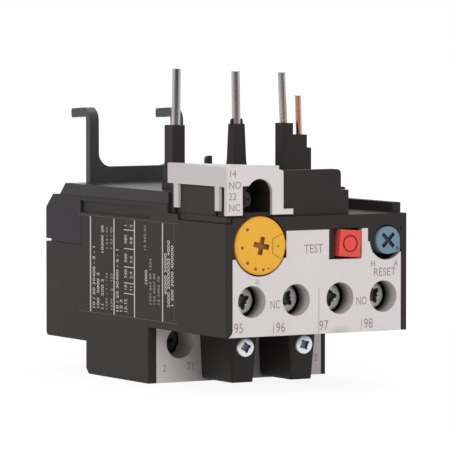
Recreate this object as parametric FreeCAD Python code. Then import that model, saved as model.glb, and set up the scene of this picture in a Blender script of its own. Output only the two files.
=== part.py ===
import FreeCAD, Part
import math
import os

# Thermal overload relay for a 45 mm wide contactor.  Millimetres.
# While drawing, X runs left to right across the front, Y runs from the front face (0) to the
# rear, and Z runs up from 0, which lies base_drop above the underside of the base block.
# save() moves every piece to the final origin, the centre of the footprint at the underside.

V = FreeCAD.Vector

# Fits and clearances
fit_gap = 0.1            # between fixed pieces that nest
run_gap = 0.05           # radial, a shaft in its bearing
move_gap = 0.3           # between bodies that pass each other
touch_gap = 0.15         # a pusher and the piece it pushes, at rest

# Housing
frame_width = 45.0
case_depth = 80.0
side_wall = 1.75
floor_wall = 1.5
base_drop = 0.35         # underside of the base block, below 0
base_front_y = 33.0      # plane of the lower terminal face
base_rear_y = 61.1
front_floor_z = 11.9     # underside of the front section
overhang_z = 6.9         # underside of the rear section
deck_z = 37.0            # deck that carries the auxiliary block
deck_wall = 1.75
deck_rear_y = 24.4
shoulder_z = 38.95       # top of the side walls
corner_cut = 1.2
left_rail_z = 35.8       # top of the left wall beside the deck
left_rail_rear_y = 20.0
right_rim_z = 39.2
right_rim_front_y = 2.4
right_rim_width = 2.0
band_bottom_z = 34.1     # black band over the front cover
front_wall_depth = 3.2
pole_shift = 0.2         # the middle pole sits this far right of centre
pole_side_room = 1.25    # outer terminal cage to the inside of the wall
pole_wall = 1.2
cross_wall_y = (38.0, 39.2)
block_floor = 1.6
label_recess_depth = 0.5
label_recess_y = (31.9, 63.6)
label_recess_z = (35.45, 38.05)

# Rear cap and top cover
cap_front_y = 63.6
cap_bottom_z = 28.3
cap_slit = 0.5
cap_slit_depth = 2.5
cap_wall = 1.6
cap_top_rear_y = 76.6
cap_chamfer_z = 35.9
cover_thickness = 2.65
cover_rear_y = 73.8
cover_top_rear_y = 71.1
cover_side_inset = 0.2
cover_lip = 1.5
cover_lip_depth = 0.6
nub_x = (-7.6, -6.3)
nub_depth = 1.3
nub_top_z = 48.7
nub_corners = (0.9, 0.35)

# Front cover
cover_plate = 1.6
cover_left_margin = 1.8
cover_right_margin = 1.4
cover_step_z = 28.3
cover_toe = (0.9, 1.5)   # width and height of the corner that reaches under the side wall
cover_step_from_dial = 6.52
collar_wall = 0.6        # tube behind each screw hole
front_collar_end = 4.4
lower_collar_depth = 6.9

# Setting dial
dial_from_side = 8.45
dial_z = 31.05
dial_radius = 6.15
dial_recess_radius = 6.5
dial_stand_out = 0.55
dial_thickness = 1.45
dial_chamfer = 0.45
dial_stem_radius = 2.0
dial_stem_end = 8.6
dial_cam_radius = 3.5
dial_cam_offset = 0.6
dial_cam_thickness = 2.6
dial_driver_width = 1.1
dial_driver_length = 3.8
dial_driver_depth = 0.8
dial_driver_turn = 12.0  # degrees clockwise, the setting at rest

# Test button
button_window_width = 8.2
button_window_from_knob = 6.25
button_window_z = 27.6
button_width = 5.3
button_edge_gap = 0.725  # to the right edge of its window
button_z = (28.05, 33.8)
button_turn = 4.5        # degrees clockwise in its window
button_stand_out = 0.8
button_body_end = 1.6
button_stem_from_edge = 2.675
button_stem_z = 30.9
button_stem_radius = 1.3
button_stem_end = 12.0
button_travel = 2.0
button_ring_radius = 1.85
button_spring_length = 5.0

# Reset knob and plunger
knob_from_side = 5.05
knob_z = 31.3
knob_radius = 2.95
knob_clearance = 0.25
knob_stand_out = 0.65
knob_corner = (2.95, 2.42)   # pointer corner, to the right of and below the centre
knob_head = 1.7          # thickness of the part with the corner
knob_back = 3.0
knob_socket_depth = 1.9
knob_recess_reach = 1.98
knob_recess_width = 0.85
knob_recess_depth = 0.6
bezel_radius = 4.2
bezel_depth = 5.8
plunger_nose_radius = 1.3
plunger_radius = 1.8
plunger_collar_radius = 2.6
plunger_collar = 0.8
plunger_end = 11.6
plunger_travel = 2.5
reset_spring_length = 2.4
guide_rib_overlap = 1.8
guide_rib_y = 9.0
guide_rib_thickness = 1.4
guide_rib_bottom_z = 26.5
spring_wire = 0.45
button_spring_turns = 5
reset_spring_turns = 2

# Auxiliary terminals 95 to 98
aux_shift = 0.3          # the middle of their row sits this far right of centre
aux_side_room = 0.16     # outer screw tube to the inside of the wall
aux_z = 19.3
aux_hole_radius = 3.37
aux_cage_front_y = 6.6
aux_cage_wall = 1.0
aux_cage_front_wall = 2.0
aux_wire_gap = 4.4
aux_cage_half_width = 3.6
aux_cage_top_z = 23.6
aux_head_radius = 3.0
aux_head_height = 2.0
aux_thread_radius = 1.5

# Trip mechanism and contacts
trip_travel = 2.0
slide_z = 33.0
slide_thickness = 1.2
slide_y = (49.5, 58.5)
slide_left_room = 2.25
slide_right_room = 2.75
slide_tab_width = 1.05
slide_tab_front_y = 47.4
lever_side_room = 1.25   # hub to the inside of the wall
lever_y = 30.0
lever_pin_radius = 1.0
lever_pin_top_z = 36.0
lever_pin_socket = 6.0
lever_hub_radius = 2.0
lever_hub_bottom_z = 30.6
lever_hub_height = 3.8
lever_arm_width = 1.0
lever_arm_height = 1.8
lever_push_radius = 15.0
lever_drive_radius = 18.0
strip_thickness = 0.8
strip_drop = 1.6         # below the slide
strip_rise = 0.2         # above the slide
carrier_y = (14.6, 17.0)
carrier_z = (30.2, 33.2)
carrier_left_end = 1.7   # past the left contact bridge
nc_bridge_from_terminal = 4.62
no_bridge_from_terminal = 4.14
bridge_thickness = 0.8
bridge_y = (13.0, 18.0)
bridge_z = (24.9, 26.6)
contact_strip = 1.0
contact_row_width = 1.4
contact_lead_width = 3.0
contact_lead_setback = 4.0   # behind the front of the cage
contact_base_y = (19.0, 20.6)
guide_lug_width = 2.0
guide_lug_height = 1.6
guide_lug_from_middle = 2.0
guide_lug_from_bridge = 8.5
contact_base_left_room = 1.75
contact_base_from_lever = 3.5

# Main terminals
terminal_plate = 1.5
terminal_face_left_margin = 2.1
terminal_face_right_margin = 1.1
main_hole_radius = 3.4
main_z = 8.2
main_cage_setback = 8.0  # behind the back of the terminal face's plate
main_cage_front_wall = 2.0
main_wire_gap = 5.4
main_cage_wall = 1.2
main_cage_half_width = 4.6
main_cage_top_z = 11.2
main_cage_bottom_z = 1.7
main_head_radius = 3.0
main_head_height = 2.7
main_thread_radius = 2.0

# Bimetals, heaters and busbars
bimetal_y = 54.0
bimetal_width = 5.0
bimetal_top_z = 34.6
bimetal_foot = 0.6
bimetal_foot_half_width = 1.6
bimetal_foot_start = 5.0  # behind the front of the cage
heater_bottom_z = 14.0
heater_turns = 8
heater_pitch = 2.1
heater_ribbon = 1.2
heater_wire = 1.0
busbar_z = 36.2
busbar_width = 2.0
busbar_foot_width = 3.0
busbar_foot_length = 5.5
busbar_thickness = 1.0
busbar_drop_y = 46.0
busbar_drop_z = 30.0

# Contact pins, coil lead and sleeves
pin_xs = (-15.05, 0.15, 12.2)
pin_y = 33.9
pin_radii = (0.95, 0.95, 0.85)
pin_root_step = 0.2      # slimmer inside the sleeve
pin_top_zs = (67.7, 67.0, 66.65)
sleeve_xs = (-15.33, 0.2, 12.38)
sleeve_top_z = 55.5
sleeve_flare_z = 47.5
sleeve_drafts = (0.0, 0.25, 0.0)
sleeve_half_widths = ((1.55, 1.85), (1.3, 2.3), (1.25, 1.25))      # top and foot of each
sleeve_half_depths = ((1.75, 2.0), (1.35, 2.2), (1.75, 1.75))
sleeve_foot_shifts = (-0.3, 0.0, 0.0)
sleeve_ear = (1.45, 0.3, 1.2)   # half width, half depth and height of the tab on the middle one
coil_x = 16.2
coil_radius = 0.7
coil_block_reach = 1.0   # right of the lead
coil_step_reach = 2.1
coil_top_z = 61.5
coil_sleeve_top_z = 52.9
coil_step_top_z = 50.0

# Barrier posts below the front section
post_front_y = 20.0
post_width = 6.85
post_centres = (-6.245, 8.525)
post_bottom_z = 0.25
post_taper = 1.2
post_corner = 1.2
post_screw_shift = 0.175 # right of the middle of the post
post_screw_z = 7.85
post_head_radius = 2.1
post_head_height = 0.8
post_thread_radius = 1.2
post_thread_length = 8.0

# Auxiliary block and label carrier on the deck
carrier_plate = 0.95
carrier_side_plate = 0.7
carrier_side_margin = 0.3
carrier_width = 12.8
carrier_bottom_z = 37.5
carrier_web = 2.7        # above the arch
carrier_rear_y = 24.9
carrier_strip_width = 1.1
carrier_strip_drop = 0.9
carrier_foot_length = 3.5
carrier_foot_top_z = 38.65
arch_from_edge = 8.1
arch_radius = 3.05
arch_top_z = 45.1
arch_shoulder_reach = 4.2
arch_shoulder_drop = 1.45
carrier_band_height = 4.3
carrier_legs_y = ((3.1, 4.9), (20.3, 22.3))
carrier_leg_bottom_z = 38.4
gusset_thickness = 1.2
aux_block_drop = 2.3     # below the top of the carrier
aux_pad = 0.4
aux_skirt_x_margin = 0.4 # behind the side of the housing
aux_skirt_front_y = 0.3
aux_pad_gap = 0.2        # below the carrier's band
aux_cavity_depth = 8.0
aux_cavity_bottom_z = 38.0
pass_through_setback = 4.2
screen_width = 14.9
screen_drop = 1.1
screen_thickness = 2.2
screen_corner = 1.0
screen_step_width = 1.9
screen_step_top_z = 42.25

# Hook frame behind the top cover
hook_front_y = 71.27
hook_thickness = 1.8
hook_bar_x = (-16.0, 8.2)
hook_post_width = 2.35
hook_bar_top_z = 45.0
hook_top_zs = (58.5, 58.2)
hook_bend_radius = 3.0
hook_arm_thickness = 2.1
hook_droop = 0.5
hook_tip_radius = 0.6
hook_fillet = 3.2

# Values that follow
half_width = frame_width / 2
inner_x = half_width - side_wall
front_shift = (case_depth - max(button_stand_out, knob_stand_out)) / 2
front_inside_z = front_floor_z + floor_wall
deck_underside_z = deck_z - deck_wall
rear_inside_y = case_depth - floor_wall
pole_pitch = inner_x - pole_shift - pole_side_room - main_cage_half_width
pole_xs = [pole_shift + pole_pitch * i for i in (-1, 0, 1)]
main_cage_front_y = base_front_y + terminal_plate + main_cage_setback
terminal_face_x = (terminal_face_left_margin - half_width, half_width - terminal_face_right_margin)
aux_reach = inner_x - aux_shift - aux_side_room - aux_hole_radius - collar_wall
aux_xs = [aux_shift + aux_reach * i for i in (-1, -1 / 3, 1 / 3, 1)]
cover_left = cover_left_margin - half_width
cover_right = half_width - cover_right_margin
dial_x = dial_from_side - half_width
cover_step_x = dial_x + cover_step_from_dial
knob_x = half_width - knob_from_side
button_window_right = knob_x - button_window_from_knob
button_window_x = (button_window_right - button_window_width, button_window_right)
button_right = button_window_right - button_edge_gap
button_x = (button_right - button_width, button_right)
button_stem_x = button_right - button_stem_from_edge
lever_x = inner_x - lever_side_room - lever_hub_radius
slide_left = slide_left_room - inner_x
slide_right = inner_x - slide_right_room
nc_bridge_x = aux_xs[0] + nc_bridge_from_terminal
no_bridge_x = aux_xs[2] - no_bridge_from_terminal
carrier_left = nc_bridge_x - carrier_left_end
contact_base_x = (contact_base_left_room - inner_x, lever_x - contact_base_from_lever)
carrier_x = (carrier_side_margin - half_width, carrier_side_margin - half_width + carrier_width)
carrier_top_z = arch_top_z + carrier_web
carrier_strip_top_z = carrier_top_z - carrier_strip_drop
carrier_foot_right = carrier_x[1] + carrier_foot_length
carrier_band_z = carrier_top_z - carrier_band_height
arch_x = carrier_x[0] + arch_from_edge
arch_shoulder_left = arch_x - arch_shoulder_reach
arch_shoulder_z = arch_top_z - arch_shoulder_drop
aux_block_left = carrier_x[0] + carrier_side_plate + fit_gap
aux_block_top_z = carrier_top_z - aux_block_drop
aux_pad_top_z = carrier_band_z - aux_pad_gap
screen_right = carrier_x[1] + carrier_strip_width + screen_width
screen_top_z = carrier_top_z - screen_drop
screen_step_right = screen_right + screen_step_width
lever_angle = trip_travel / lever_drive_radius
contact_travel = lever_angle * lever_push_radius
cover_top_z = shoulder_z + cover_thickness


def box(x, y, z):
    """Block between the low and high value of each axis."""
    return Part.makeBox(x[1] - x[0], y[1] - y[0], z[1] - z[0], V(x[0], y[0], z[0]))


def around(middle, half):
    """Range of half a width to each side of a middle."""
    return (middle - half, middle + half)


def rod_y(x, z, radius, y):
    return Part.makeCylinder(radius, y[1] - y[0], V(x, y[0], z), V(0, 1, 0))


def rod_z(x, y, radius, z):
    return Part.makeCylinder(radius, z[1] - z[0], V(x, y, z[0]), V(0, 0, 1))


def corner(before, point, after, radius):
    """Start, middle and end of the arc that rounds one corner of an outline."""
    into = (before - point).normalize()
    out = (after - point).normalize()
    half = into.getAngle(out) / 2
    reach = radius / math.tan(half)
    inward = (into + out).normalize()
    middle = point + inward * (radius / math.sin(half) - radius)
    return point + into * reach, middle, point + out * reach


def outline(points, place):
    """Closed wire through (u, v) or (u, v, corner radius) points, set in space by place."""
    spots = [V(p[0], p[1], 0) for p in points]
    arcs = []
    for i, p in enumerate(points):
        if len(p) == 3:
            arcs.append(corner(spots[i - 1], spots[i], spots[(i + 1) % len(spots)], p[2]))
        else:
            arcs.append((spots[i], spots[i], spots[i]))
    edges = []
    for i, (start, middle, end) in enumerate(arcs):
        if start != end:
            edges.append(Part.Arc(place(start), place(middle), place(end)).toShape())
        following = arcs[(i + 1) % len(arcs)][0]
        if (following - end).Length > 1e-6:
            edges.append(Part.makeLine(place(end), place(following)))
    return Part.Wire(edges)


def prism_x(points, x):
    """Outline in Y and Z, drawn out along X."""
    face = Part.Face(outline(points, lambda p: V(x[0], p.x, p.y)))
    return face.extrude(V(x[1] - x[0], 0, 0))


def prism_y(points, y):
    """Outline in X and Z, drawn out along Y."""
    face = Part.Face(outline(points, lambda p: V(p.x, y[0], p.y)))
    return face.extrude(V(0, y[1] - y[0], 0))


def prism_z(points, z):
    """Outline in X and Y, drawn out along Z."""
    face = Part.Face(outline(points, lambda p: V(p.x, p.y, z[0])))
    return face.extrude(V(0, 0, z[1] - z[0]))


def joined(shapes):
    """One solid from pieces that touch or overlap."""
    first, *rest = shapes
    return first.fuse(rest).removeSplitter()


def save(name, shape):
    """Write one node, moved from the front face to the final origin."""
    placed = shape.copy()
    placed.translate(V(0, -front_shift, base_drop))
    placed.exportStep("parts/" + name + ".step")


def cross_recess(x, z, y, radius, depth, width):
    """Cross-shaped cut for a driver in a screw head that faces the front."""
    upright = box(around(x, width / 2), (y, y + depth), around(z, radius))
    level = box(around(x, radius), (y, y + depth), around(z, width / 2))
    return upright.fuse(level)


def coil(x, z, radius, y, turns):
    """Compression spring along Y with round wire."""
    height = y[1] - y[0] - spring_wire
    helix = Part.makeHelix(height / turns, height, radius)
    wire = Part.Wire([Part.Circle(V(radius, 0, 0), V(0, 1, 0), spring_wire / 2).toShape()])
    spring = Part.Wire(helix.Edges).makePipeShell([wire], True, True)
    spring.rotate(V(0, 0, 0), V(1, 0, 0), -90)
    spring.translate(V(x, y[0] + spring_wire / 2, z))
    return spring


# ---------------------------------------------------------------- housing

def housing_outside():
    side = [
        (0, front_floor_z), (base_front_y, front_floor_z), (base_front_y, -base_drop),
        (base_rear_y - corner_cut, -base_drop), (base_rear_y, corner_cut - base_drop),
        (base_rear_y, overhang_z),
        (case_depth - corner_cut / 2, overhang_z), (case_depth, overhang_z + corner_cut / 2),
        (case_depth, cap_bottom_z - fit_gap), (cap_front_y - fit_gap, cap_bottom_z - fit_gap),
        (cap_front_y - fit_gap, shoulder_z), (deck_rear_y, shoulder_z), (deck_rear_y, deck_z),
        (0, deck_z),
    ]
    body = prism_x(side, (-half_width, half_width))
    rim = box((half_width - right_rim_width, half_width), (right_rim_front_y, deck_rear_y),
              (deck_underside_z, right_rim_z))
    return joined([body, rim])


def cover_toe_shape(grow, depth):
    """Lower left corner of the front cover, which reaches under the rounded end of the side wall."""
    tip = cover_left - cover_toe[0] - grow
    top = front_floor_z + cover_toe[1] + grow
    return prism_y([(cover_left + 1, front_floor_z - grow), (tip, front_floor_z - grow),
                    (tip, front_floor_z + 0.1), (cover_left - 0.3, front_floor_z + 0.6 + grow, 0.8),
                    (cover_left, top), (cover_left + 1, top)], (-grow, depth))


def front_chamber():
    """Room behind the front cover, under the deck, and the open well behind the deck."""
    under_deck = box((-inner_x, inner_x), (-1, cross_wall_y[0]), (front_inside_z, deck_underside_z))
    well = box((-inner_x, inner_x), (deck_rear_y + floor_wall, cross_wall_y[0]),
               (front_inside_z, shoulder_z + 1))
    cover_seat = box((cover_left - fit_gap, cover_right + fit_gap), (-1, cover_plate + fit_gap),
                     (front_floor_z - 1, deck_underside_z))
    return [under_deck, well, cover_seat, cover_toe_shape(fit_gap, cover_plate + fit_gap)]


def pole_chambers():
    """Three chambers split by the pole walls, reaching down into the base block."""
    edges = [-inner_x, sum(pole_xs[0:2]) / 2, sum(pole_xs[1:3]) / 2, inner_x]
    cuts = []
    for i in range(3):
        left = edges[i] + (pole_wall / 2 if i > 0 else 0)
        right = edges[i + 1] - (pole_wall / 2 if i < 2 else 0)
        side = [
            (cross_wall_y[1], front_inside_z), (cross_wall_y[1], shoulder_z + 1),
            (rear_inside_y, shoulder_z + 1), (rear_inside_y, overhang_z + floor_wall),
            (base_rear_y - floor_wall, overhang_z + floor_wall), (base_rear_y - floor_wall, block_floor),
            (base_front_y + terminal_plate + fit_gap, block_floor),
            (base_front_y + terminal_plate + fit_gap, front_floor_z),
            (bimetal_y - bimetal_width, front_floor_z), (bimetal_y - bimetal_width, front_inside_z),
        ]
        cuts.append(prism_x(side, (left, right)))
    face_seat = box((terminal_face_x[0] - fit_gap, terminal_face_x[1] + fit_gap),
                    (base_front_y - 1, base_front_y + terminal_plate + fit_gap), (-1, front_floor_z))
    cuts.append(face_seat)
    return cuts


def wire_entries():
    """Holes in the floors where the wires come up into the terminals."""
    cuts = []
    main_y = main_cage_front_y + main_cage_front_wall
    for x in pole_xs:
        cuts.append(box(around(x, main_cage_half_width - main_cage_wall + 0.4),
                        (main_y - 0.2, main_y + main_wire_gap + 0.2), (-1, block_floor + 1)))
    aux_y = aux_cage_front_y + aux_cage_front_wall
    for x in aux_xs:
        cuts.append(box(around(x, aux_cage_half_width - aux_cage_wall),
                        (aux_y, aux_y + aux_wire_gap), (front_floor_z - 1, front_inside_z + 1)))
    return cuts


def slide_passages():
    """Slots in the two pole walls that carry the trip slide."""
    cuts = []
    for wall in (sum(pole_xs[0:2]) / 2, sum(pole_xs[1:3]) / 2):
        cuts.append(box(around(wall, pole_wall), (slide_y[0] - move_gap, slide_y[1] + move_gap),
                        (slide_z - 0.2, shoulder_z + 1)))
        cuts.append(box(around(wall, pole_wall), (cross_wall_y[1], slide_y[0]),
                        (busbar_z - 1.2, shoulder_z + 1)))
        cuts.append(box(around(wall, pole_wall), (cross_wall_y[1], rear_inside_y),
                        (shoulder_z - cover_lip_depth - fit_gap, shoulder_z + 1)))
    return cuts


def knob_field(inset, y):
    """Black field round the reset knob, which the front cover is cut away for."""
    left = button_window_x[1] + 1.55 + inset
    right = cover_right - inset
    bottom = cover_step_z + 0.4 + inset
    shape = [
        (left, band_bottom_z + 1), (left, knob_z), (left + 0.76, knob_z - 0.37),
        (left + 1.14, knob_z - 1.34), (left + 1.12, bottom), (right, bottom),
        (right, band_bottom_z + 1),
    ]
    return joined([prism_y(shape, y), rod_y(knob_x, knob_z, bezel_radius - inset, y)])


def knob_recess():
    """Room in which the knob's pointer corner sweeps through the lower half turn."""
    side = knob_radius + move_gap
    y = (-1, bezel_depth + 1)
    low = knob_z - max(knob_corner) - move_gap
    square = box(around(knob_x, side), y, (low, knob_z))
    sweep = rod_y(knob_x, knob_z, bezel_radius, y).common(box(around(knob_x, bezel_radius), y, (0, low + 1)))
    return [rod_y(knob_x, knob_z, side, y), square, sweep]


def front_walls():
    """Black band, dial seat, knob bezel and guide rib behind the front cover."""
    band = box((-half_width, half_width), (0, front_wall_depth), (band_bottom_z, deck_z))
    dial_wall = box((-half_width, cover_step_x - fit_gap), (0, front_wall_depth),
                    (cover_step_z + fit_gap, deck_z))
    dial_back = box((-half_width, cover_step_x), (cover_plate + fit_gap, front_wall_depth),
                    (dial_z - dial_recess_radius - floor_wall / 2, deck_z))
    bezel = knob_field(fit_gap, (0, bezel_depth)).cut(knob_recess())
    bezel_floor = box((button_window_x[1] + 1.65, half_width), (bezel_depth, bezel_depth + floor_wall),
                      (guide_rib_bottom_z, deck_z))
    rib = box((button_window_x[0] - guide_rib_overlap, half_width),
              (guide_rib_y, guide_rib_y + guide_rib_thickness), (guide_rib_bottom_z, deck_z))
    button_side = box((button_window_x[0] + fit_gap, button_x[0] - 2 * move_gap), (0.5, guide_rib_y / 2),
                      (button_window_z + fit_gap, deck_z))
    return [band.cut(knob_recess()), dial_wall, dial_back, bezel, bezel_floor, rib, button_side]


def front_bores():
    """Recess and bores for the dial, knob, plunger and button."""
    return [
        rod_y(dial_x, dial_z, dial_recess_radius, (-1, cover_plate + fit_gap)),
        rod_y(dial_x, dial_z, dial_stem_radius + run_gap, (0, front_wall_depth + 1)),
        rod_y(knob_x, knob_z, plunger_collar_radius + knob_clearance,
              (bezel_depth - 1, bezel_depth + floor_wall + 1)),
        rod_y(knob_x, knob_z, plunger_radius + run_gap, (guide_rib_y - 1, guide_rib_y + 3)),
        rod_y(button_stem_x, button_stem_z, button_stem_radius + run_gap,
              (guide_rib_y - 1, guide_rib_y + 3)),
    ]


def housing_body():
    body = housing_outside().cut(front_chamber() + pole_chambers())
    boss = rod_z(lever_x, lever_y, lever_hub_radius + 0.4,
                 (front_floor_z, lever_hub_bottom_z - move_gap))
    cross_top = lever_hub_bottom_z - move_gap
    cross_wall = box((-inner_x - 0.5, inner_x + 0.5), cross_wall_y, (front_floor_z, cross_top))
    body = body.cut(box((-inner_x, inner_x), cross_wall_y, (cross_top, shoulder_z + 1)))
    body = joined([body, boss, cross_wall] + front_walls())
    left_rail = box((-half_width - 1, -inner_x), (-1, left_rail_rear_y), (left_rail_z, deck_z + 5))
    label_recess = box((-half_width - 1, -half_width + label_recess_depth), label_recess_y,
                       label_recess_z)
    right_recess = label_recess.mirror(V(0, 0, 0), V(1, 0, 0))
    pin_hole = rod_z(lever_x, lever_y, lever_pin_radius,
                     (lever_hub_bottom_z - move_gap - lever_pin_socket, lever_hub_bottom_z))
    cuts = [left_rail, label_recess, right_recess, pin_hole]
    return body.cut(cuts + wire_entries() + slide_passages() + front_bores())


def rear_cap():
    side = [
        (cap_front_y, cap_bottom_z), (case_depth - cap_slit_depth, cap_bottom_z),
        (case_depth - cap_slit_depth, cap_bottom_z + cap_slit), (case_depth, cap_bottom_z + cap_slit),
        (case_depth, cap_chamfer_z), (cap_top_rear_y, shoulder_z), (cap_front_y, shoulder_z),
    ]
    room = [
        (cap_front_y - 1, cap_bottom_z - 1), (rear_inside_y - 1.6, cap_bottom_z - 1),
        (rear_inside_y - 1.6, cap_chamfer_z - 1), (cap_top_rear_y - 1, shoulder_z - cap_wall),
        (cap_front_y - 1, shoulder_z - cap_wall),
    ]
    cap = prism_x(side, (-half_width, half_width))
    inside = prism_x(room, (-inner_x, inner_x))
    return cap.cut(inside)


def top_cover():
    side = [
        (deck_rear_y, shoulder_z), (cover_rear_y, shoulder_z), (cover_top_rear_y, cover_top_z),
        (deck_rear_y, cover_top_z, 0.4),
    ]
    half = half_width - cover_side_inset
    plate = prism_x(side, (-half, half))
    lip = box((-inner_x + fit_gap, inner_x - fit_gap),
              (deck_rear_y + floor_wall + fit_gap, cap_front_y - fit_gap),
              (shoulder_z - cover_lip_depth, shoulder_z + fit_gap))
    lip = lip.cut(box((-inner_x + cover_lip, inner_x - cover_lip),
                      (deck_rear_y + floor_wall + cover_lip, cap_front_y - cover_lip),
                      (shoulder_z - 1, shoulder_z)))
    holes = [root_bore(x, radius, (shoulder_z - 1, cover_top_z + 1))
             for x, radius in zip(pin_xs + (coil_x,), pin_radii + (coil_radius,))]
    hook_seat = box((hook_bar_x[0] - fit_gap, hook_bar_x[1] + fit_gap),
                    (hook_front_y - fit_gap, cover_rear_y + 1), (shoulder_z - 1, cover_top_z + 1))
    nub = prism_y([(nub_x[0], shoulder_z + 1), (nub_x[1], shoulder_z + 1),
                   (nub_x[1], nub_top_z, nub_corners[1]), (nub_x[0], nub_top_z, nub_corners[0])],
                  around(pin_y, nub_depth / 2))
    return joined([plate, lip, nub]).cut(holes + [hook_seat])


# ---------------------------------------------------------------- front and terminal covers

def front_cover():
    plate = box((cover_left, cover_right), (0, cover_plate),
                (front_floor_z, band_bottom_z - fit_gap))
    cut_y = (-1, cover_plate + 1)
    cuts = [
        box((cover_left - 1, cover_step_x), cut_y, (cover_step_z, band_bottom_z + 1)),
        rod_y(dial_x, dial_z, dial_recess_radius, cut_y),
        box(button_window_x, cut_y, (button_window_z, band_bottom_z + 1)),
        knob_field(0, cut_y),
    ]
    collars = [rod_y(x, aux_z, aux_hole_radius + collar_wall, (0, front_collar_end)) for x in aux_xs]
    cuts += [rod_y(x, aux_z, aux_hole_radius, (-1, front_collar_end + 1)) for x in aux_xs]
    toe = cover_toe_shape(0, cover_plate)
    return joined([plate, toe] + collars).cut(cuts)


def terminal_face():
    top = front_floor_z - fit_gap
    plate = box(terminal_face_x, (base_front_y, base_front_y + terminal_plate), (-base_drop, top))
    collar_end = base_front_y + lower_collar_depth
    collars = [rod_y(x, main_z, main_hole_radius + collar_wall, (base_front_y, collar_end))
               for x in pole_xs]
    under_floor = box(terminal_face_x, (base_front_y, collar_end), (-base_drop, top))
    holes = [rod_y(x, main_z, main_hole_radius, (base_front_y - 1, collar_end + 1)) for x in pole_xs]
    return joined([plate] + [c.common(under_floor) for c in collars]).cut(holes)


def barrier_post(centre):
    top = front_floor_z - fit_gap / 2
    half = post_width / 2
    front = [
        (centre - half + post_taper / 2, post_bottom_z), (centre + half - post_taper, post_bottom_z),
        (centre + half, top), (centre - half, top),
    ]
    side = [
        (post_front_y, post_bottom_z), (base_front_y - fit_gap, post_bottom_z, post_corner),
        (base_front_y - fit_gap, top), (post_front_y, top),
    ]
    body = prism_y(front, (post_front_y, base_front_y)).common(prism_x(side, (centre - half, centre + half)))
    hole = rod_y(centre + post_screw_shift, post_screw_z, post_thread_radius + fit_gap / 2,
                 (post_front_y - 1, post_front_y + post_thread_length + fit_gap))
    return body.cut(hole)


def post_screw(centre):
    x = centre + post_screw_shift
    head = rod_y(x, post_screw_z, post_head_radius, (post_front_y - post_head_height, post_front_y))
    head = head.makeChamfer(post_head_height / 3, [head.Edges[2]])
    shank = rod_y(x, post_screw_z, post_thread_radius,
                  (post_front_y, post_front_y + post_thread_length))
    recess = cross_recess(x, post_screw_z, post_front_y - post_head_height,
                          post_head_radius * 0.6, post_head_height / 2, 0.5)
    return joined([head, shank]).cut(recess)


# ---------------------------------------------------------------- auxiliary block and carrier

def arch(y, grow):
    """Opening of the pass-through terminal: a round top on a straight slot."""
    middle_z = arch_top_z - arch_radius
    radius = arch_radius + grow
    slot = box(around(arch_x, radius), y, (carrier_bottom_z - 1, middle_z))
    return [rod_y(arch_x, middle_z, radius, y), slot]


def top_carrier():
    left, right = carrier_x
    panel = box((left, right), (0, carrier_plate), (carrier_bottom_z, carrier_top_z))
    strip = prism_y([(right, carrier_bottom_z), (right + carrier_strip_width, carrier_bottom_z),
                     (right + carrier_strip_width, carrier_strip_top_z, 0.6),
                     (right, carrier_strip_top_z)], (0, carrier_plate))
    foot = box((right, carrier_foot_right), (0, carrier_plate), (carrier_bottom_z, carrier_foot_top_z))
    side_x = (left, left + carrier_side_plate)
    band = box(side_x, (0, carrier_rear_y), (carrier_band_z, carrier_top_z))
    legs = [box(side_x, y, (carrier_leg_bottom_z, carrier_top_z)) for y in carrier_legs_y]
    gusset = prism_z([(left, 0), (right, 0), (right, carrier_plate),
                      (left + carrier_side_plate, carrier_rear_y), (left, carrier_rear_y)],
                     (carrier_top_z - gusset_thickness, carrier_top_z))
    shoulder = box((arch_shoulder_left, arch_x), (-1, carrier_plate + 1),
                   (carrier_bottom_z - 1, arch_shoulder_z))
    body = joined([panel, strip, foot, band, gusset] + legs)
    return body.cut(arch((-1, carrier_plate + 0.2), 0) + [shoulder])


def aux_block():
    front = carrier_plate + fit_gap
    right = carrier_x[1] + carrier_strip_width
    rear = deck_rear_y - fit_gap
    body = box((aux_block_left, right), (front, rear), (deck_z, aux_block_top_z))
    pad_x = (aux_block_left - aux_pad, aux_block_left)
    pads = [
        box(pad_x, (carrier_legs_y[0][1] + 0.35, carrier_legs_y[1][0] - 0.35), (deck_z, aux_pad_top_z)),
        box(pad_x, (carrier_legs_y[1][1] + fit_gap, rear), (deck_z, aux_pad_top_z)),
    ]
    skirt = box((aux_skirt_x_margin - half_width, -inner_x - fit_gap),
                (aux_skirt_front_y, left_rail_rear_y - 2 * fit_gap), (left_rail_z + fit_gap, deck_z + 0.2))
    screen = prism_y([(right - 1, deck_z), (screen_right, deck_z),
                      (screen_right, screen_top_z, screen_corner), (right - 1, screen_top_z)],
                     (front, front + screen_thickness))
    step = box((screen_right, screen_step_right), (front, front + screen_thickness),
               (deck_z, screen_step_top_z))
    cavity = box(around(arch_x, arch_radius + 0.15), (front - 1, front + aux_cavity_depth),
                 (aux_cavity_bottom_z, arch_top_z - arch_radius))
    cavity_top = rod_y(arch_x, arch_top_z - arch_radius, arch_radius - 0.2,
                       (front - 1, front + aux_cavity_depth))
    return joined([body, screen, step, skirt] + pads).cut([cavity, cavity_top])


def pass_through_place():
    """X, Y and Z ranges of the metal clamp in the auxiliary block."""
    y = (carrier_plate + fit_gap + pass_through_setback, carrier_plate + aux_cavity_depth)
    x = (arch_x - arch_radius - 0.15 + fit_gap, arch_x + 0.6)
    z = (aux_cavity_bottom_z + 1.2, arch_top_z - arch_radius)
    return x, y, z


def pass_through_terminal():
    x, y, z = pass_through_place()
    hole = rod_y(sum(x) / 2, sum(z) / 2, 1.0 + fit_gap / 2, (y[0] - 1, y[0] + 2.5))
    return box(x, y, z).cut(hole)


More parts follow.
